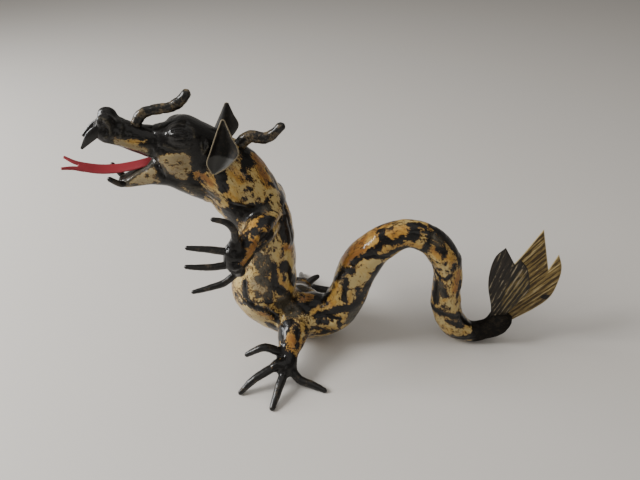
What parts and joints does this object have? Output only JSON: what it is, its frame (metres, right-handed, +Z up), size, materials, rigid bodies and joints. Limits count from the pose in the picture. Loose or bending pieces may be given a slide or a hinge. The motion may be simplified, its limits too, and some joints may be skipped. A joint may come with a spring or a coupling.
{
  "type": "dragon sculpture",
  "caption": "Table-top dragon sculpture in glossy marbled acrylic: open jaws, forked tongue, upright neck, humped back, claws and a leafy tail.",
  "frame": {"origin": "under the middle of the whole figure, on the surface that it stands on", "axes": "+X from the head towards the tail, +Y to the dragon's right side, +Z up"},
  "size_m": [0.2894, 0.135, 0.1771],
  "materials": {
    "body": "gloss, marbled cream, ochre and black",
    "claw": "satin",
    "ear": "satin, pale rims",
    "fin": "satin, streaked lengthwise",
    "tongue": "satin"
  },
  "bodies": {
    "root": {"body": "body", "tongue": "tongue", "snout_horn": "claw", "crest_horn": "claw", "left_fang": "claw", "right_fang": "claw", "left_lower_tooth": "claw", "right_lower_tooth": "claw", "left_hand_claw_1": "claw", "left_hand_claw_2": "claw", "left_hand_claw_3": "claw", "left_hand_claw_4": "claw", "left_foot_claw_1": "claw", "left_foot_claw_2": "claw", "left_foot_claw_3": "claw", "left_foot_claw_4": "claw", "right_hand_claw_1": "claw", "right_hand_claw_2": "claw", "right_hand_claw_3": "claw", "right_hand_claw_4": "claw", "right_foot_claw_1": "claw", "right_foot_claw_2": "claw", "right_foot_claw_3": "claw", "right_foot_claw_4": "claw", "left_ear": "ear", "right_ear": "ear", "left_tail_fin": "fin", "right_tail_fin": "fin"}
  },
  "joints": []
}
